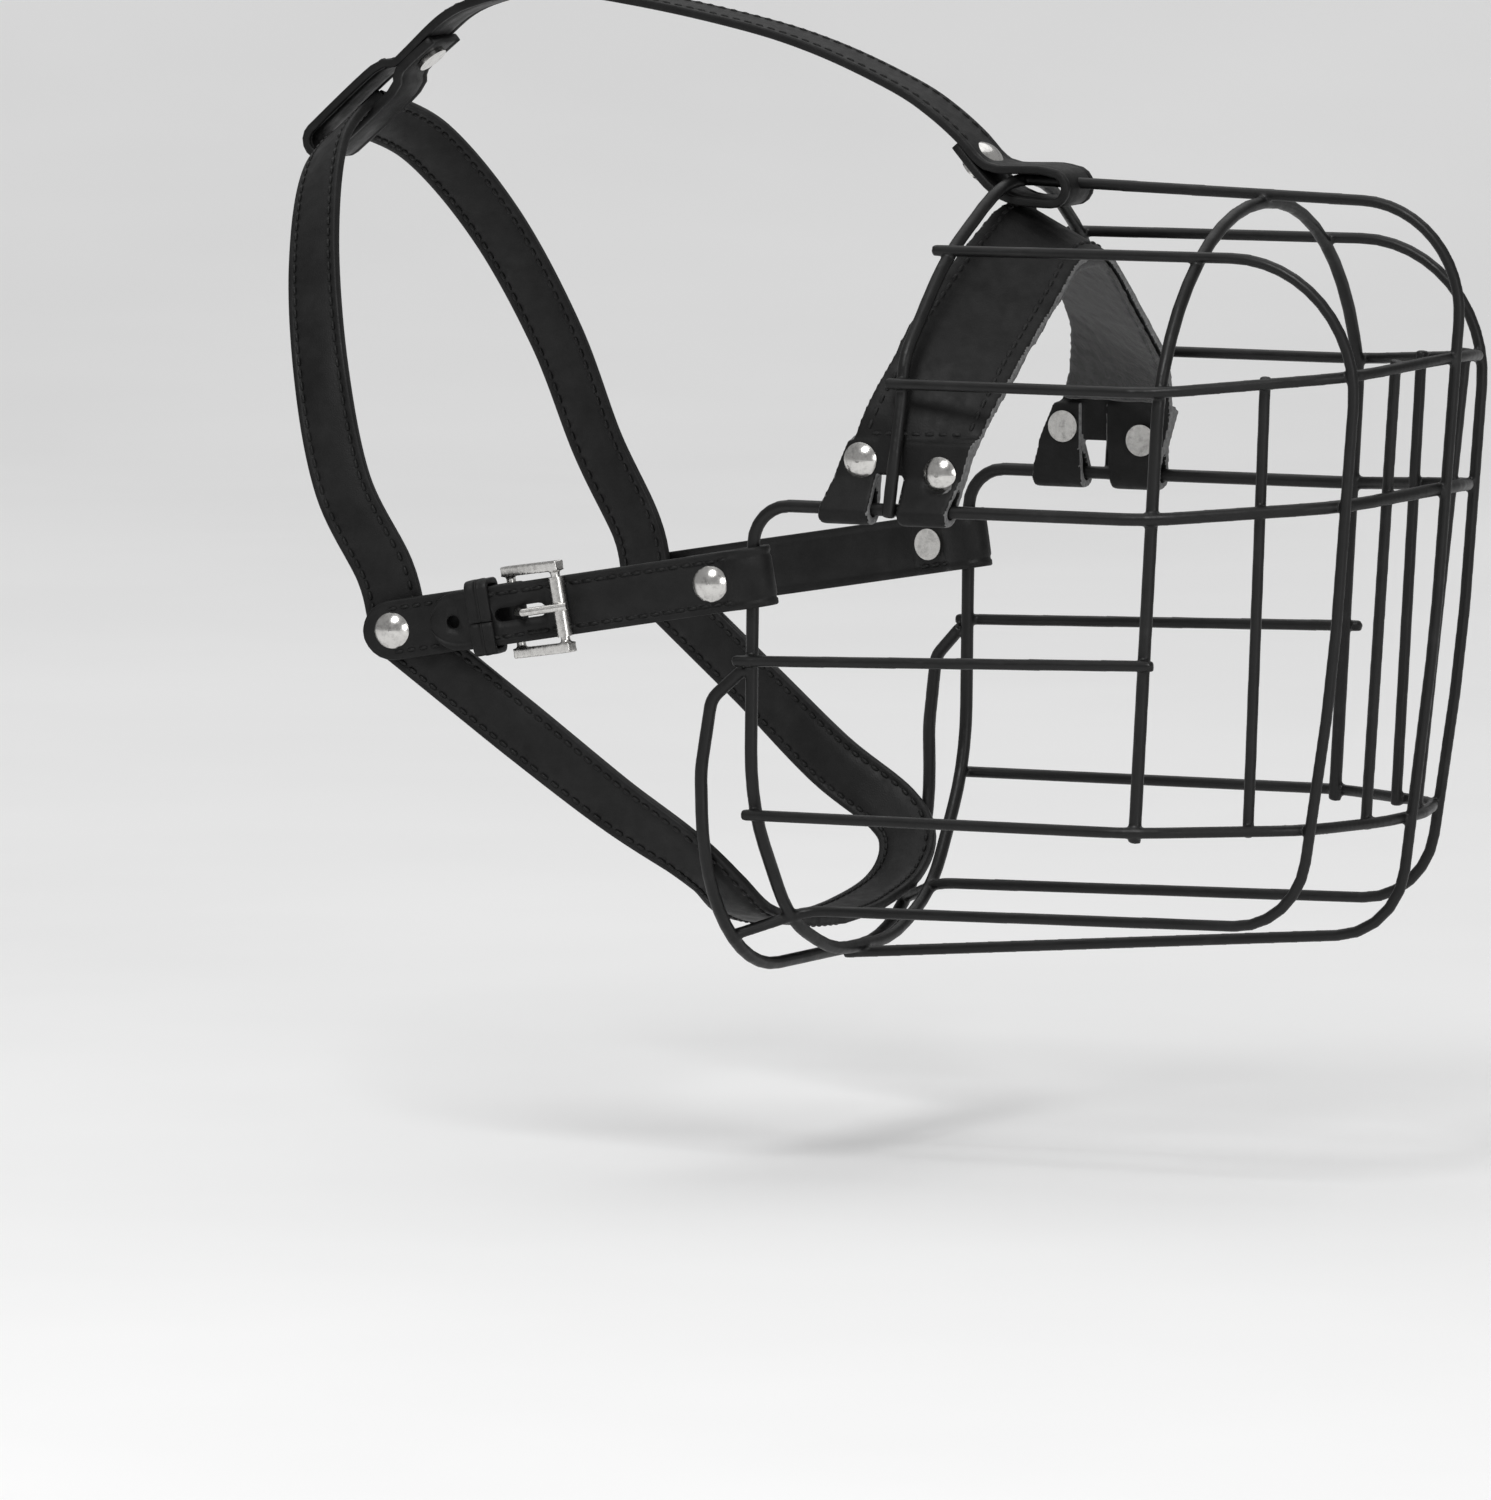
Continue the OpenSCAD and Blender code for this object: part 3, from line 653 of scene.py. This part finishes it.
def make_buckle_tab():
    straight, taper = 0.6, 3
    flat_from = HEEL.x + straight + taper
    reach = JUNCTION_AT + STRAP_W / 2 - flat_from
    r, t = 1.35, TAB_T
    inner = fold(HEEL.x, r, t, straight, taper, reach)
    end = flat_from + reach
    flat = [Vector((p.x, p.y + HEEL.y, 0)) for p in inner]
    flat += [Vector((flat_from + reach * f, HEEL.y + t / 2, 0)) for f in (0.4, 0.75)]
    flat.append(Vector((end, HEEL.y + t / 2, 0)))
    strap = Strap("buckle_tab_leather", placed(flat), [CHEEK_Z] * len(flat), thickness=t,
                  groove=0.1, round_start=True, round_end=True, step=1.6)
    strap.stitches(strap.length - reach + 1, strap.length - 7, faces=(1, -1))
    strap.finish([LEATHER, EDGE, PALE_THREAD], "right_cheek", "buckle_tab")


make_buckle_tab()


def make_keeper():
    """A leather band round both plies, its ends butted underneath."""
    low, high = HEEL.y - TAB_T - 0.3 - 0.75, STRAP_T + 0.3 + 0.75
    half, r = STRAP_W / 2 + 0.5 + 0.75, 1.6
    loop = []
    for cy, cz, start in ((high - r, half - r, 0), (low + r, half - r, 90),
                          (low + r, r - half, 180), (high - r, r - half, 270)):
        loop += [Vector((KEEPER_AT, p.x, p.y)) for p in arc((cy, cz), r, start, start + 90, 3)]
    loop = [Vector((KEEPER_AT, high, -1))] + [Vector((KEEPER_AT, high, 3))] + loop
    loop += [Vector((KEEPER_AT, high, -4)), Vector((KEEPER_AT, high, -1.3))]
    points = [cheek_at(p.x, p.y, p.z) for p in loop]
    strap = Strap("keeper_band", points, [CHEEK_X] * len(points), width=6, thickness=1.5,
                  groove=0.05, step=1.2)
    strap.finish([LEATHER, EDGE, THREAD], "keeper", "keeper_loop")


make_keeper()


# ---- Throat strap, in two halves that meet under the jaw ----
def make_throat_strap():
    pitch = math.radians(37)
    way = SIDE_BACK * -math.cos(pitch) - UP * math.sin(pitch)
    across = SIDE_BACK * -math.sin(pitch) + UP * math.cos(pitch)
    join = cheek_at(JUNCTION_AT, THROAT_FACE - STRAP_T / 2)
    points = [join - way * 7.5, join + way * 2, join + way * 14, join + way * 40,
              join + way * 70 + Vector((0, 0.8, 0)), Vector((-20.8, -60.4, -29.2)),
              Vector((-13.8, -55.2, -36.8)), Vector((-12, -43.5, -44.6)), Vector((-12, -22, -49.4)),
              Vector((-12, 0, -51))]
    hints = [across] * 4 + [Vector(v) for v in ((0.6, -0.15, 0.78), (0.6, -0.36, 0.71),
                                                (0.8, -0.4, 0.44), (1, -0.1, 0.12), (1, 0, 0),
                                                (1, 0, 0))]
    for name, body, mirrored in (("right", "right_cheek", False), ("left", "left_cheek", True)):
        place = [flip(p) for p in points] if mirrored else points
        sides = [flip(p) for p in hints] if mirrored else hints
        strap = Strap(name + "_throat_strap", place, sides, round_start=True, open_end="end")
        strap.stitches(9, strap.length, faces=(1, -1))
        piece = strap.finish([LEATHER, EDGE, PALE_THREAD], None, "throat_strap")
        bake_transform(piece)


make_throat_strap()


# ---- Neck strap, in two halves that meet inside the forehead strap's fold ----
NAPE = Vector((-141, 0, 149))
NAPE_TURN = math.radians(41.3)


def make_neck_strap():
    start = (UP + SIDE_BACK * 0.27).normalized()
    join = cheek_at(JUNCTION_AT, NECK_FACE - STRAP_T / 2)
    points = [join - start * 7.5, join + start * 2, join + start * 15, Vector((-110, -71.6, 60)),
              Vector((-119, -66, 88)), Vector((-128.6, -51, 117)), Vector((-137, -28, 139.5)),
              NAPE.copy()]
    wide = start.cross(SIDE_OUT)
    hints = [wide] * 3 + [Vector(v) for v in ((0.93, 0.1, 0.25), (0.88, 0.06, 0.4),
                                              (0.82, 0.03, 0.53), (0.78, 0, 0.62),
                                              (0.75, 0, 0.66))]
    for name, body, mirrored in (("right", "right_cheek", False), ("left", "left_cheek", True)):
        place = [flip(p) for p in points] if mirrored else points
        sides = [flip(p) for p in hints] if mirrored else hints
        strap = Strap(name + "_neck_strap", place, sides, round_start=True, open_end="end")
        strap.stitches(9, strap.length - 9, faces=(1, -1))
        piece = strap.finish([LEATHER, EDGE, PALE_THREAD], None, "neck_strap")
        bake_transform(piece)


make_neck_strap()


# ---- Forehead strap: round the neck strap, over the head, and round the centre wire ----
def make_forehead_strap():
    loop, mid = (55.5, 135.5), 2.8 + FOREHEAD_T / 2
    under = [(29.1, 145.5), (32.7, 141.4), (36, 137.8), (39.6, 134.6), (44.5, 132.4), (50, 131.8)]
    over = [(52, 140), (45, 139.9), (40.5, 139.9), (37.3, 140.7), (34.2, 143), (30.6, 146.8),
            (24, 152.2), (15.7, 157.6), (5, 162.6), (-6, 167), (-17, 170.6), (-28, 173.4),
            (-44, 176.6), (-60, 179.2), (-75, 181), (-90, 181.2), (-103, 178.8),
            (-114, 174.2)]
    bend = [(p.x, p.y) for p in arc(loop, mid, -90, 90, 8)]

    def nape_at(x, y):
        c, s = math.cos(NAPE_TURN), math.sin(NAPE_TURN)
        return (NAPE.x + x * c - y * s, NAPE.z + x * s + y * c)

    r = 2.8 + FOREHEAD_T / 2
    nape = [nape_at(22, FOREHEAD_T / 2), nape_at(18, FOREHEAD_T / 2 + 0.2), nape_at(12.5, r)]
    nape += [nape_at(p.x - 11, p.y) for p in arc((0, 0), r, 90, 270, 8)]
    nape += [nape_at(12.5, -r), nape_at(18, -FOREHEAD_T / 2), nape_at(30, -FOREHEAD_T / 2)]
    flat = under + bend + over + nape
    points = [Vector((x, 0, z)) for x, z in flat]
    strap = Strap("forehead_strap_leather", points, [Vector((0, 1, 0))] * len(points),
                  width=FOREHEAD_W, thickness=FOREHEAD_T)
    first = sum((b - a).length for a, b in zip(points[:18], points[1:19]))
    strap.stitches(first + 8, strap.length - 62, faces=(-1,))
    piece = strap.finish([LEATHER, EDGE, PALE_THREAD], None, "forehead_strap")
    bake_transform(piece)


make_forehead_strap()


# ---- Metal ----
def make_buckle_frame():
    piece = soften(cad_copy("buckle_frame_cast", ["buckle_frame"], [STEEL]), 0.3, 6)
    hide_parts("buckle_frame")
    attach(piece, "buckle")


make_buckle_frame()


def finish_metal():
    for name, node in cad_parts.items():
        if name.endswith(("_rivet", "_rivets")) or name in ("buckle_roller", "buckle_tongue"):
            node.data.materials.clear()
            node.data.materials.append(NICKEL if "rivet" in name else STEEL)


finish_metal()


# ---- Studio ----
def make_studio():
    floor_z = cad_box[0][2] - 0.05
    bm = bmesh.new()
    profile = [(-6.0, 0.0), (2.2, 0.0), (2.5, 0.03), (2.8, 0.1), (3.1, 0.25)]
    rows = [[bm.verts.new((x, y, floor_z + z)) for x in (-6, 6)] for y, z in profile]
    for a, b in zip(rows, rows[1:]):
        bm.faces.new((a[0], a[1], b[1], b[0]))
    mesh = bpy.data.meshes.new("floor")
    bm.to_mesh(mesh)
    bm.free()
    m = Nodes("floor_paper", Roughness=0.9, Specular_IOR_Level=0.1)
    m.link(m.ramp(m.noise(3, 3), [(0.3, 0.86), (0.7, 0.9)]), m.shader.inputs["Base Color"])
    floor = new_object("floor", mesh, [m.material])
    floor.rotation_euler = (0, 0, math.radians(26))


def make_light(name, place, target, size, watts):
    data = bpy.data.lights.new(name, "AREA")
    data.shape = "DISK"
    data.size = size
    data.energy = watts
    lamp = bpy.data.objects.new(name, data)
    bpy.context.scene.collection.objects.link(lamp)
    lamp.location = place
    lamp.rotation_euler = (Vector(target) - lamp.location).to_track_quat("-Z", "Y").to_euler()


def make_lights():
    world = bpy.data.worlds.new("studio")
    bpy.context.scene.world = world
    world.use_nodes = True
    background = world.node_tree.nodes["Background"]
    background.inputs["Color"].default_value = (1, 1, 1, 1)
    background.inputs["Strength"].default_value = 0.35
    make_light("key", Vector((0.2, -1.6, 1.7)), (0, 0, 0.05), 0.8, 24)
    make_light("fill", Vector((2.0, -1.2, 0.5)), (0, 0, 0.05), 1.0, 9)
    make_light("sky", Vector((-0.6, 1.3, 2.6)), (-0.6, 1.3, 0), 4.0, 42)


make_studio()
make_lights()
bpy.context.scene.view_settings.view_transform = "Standard"
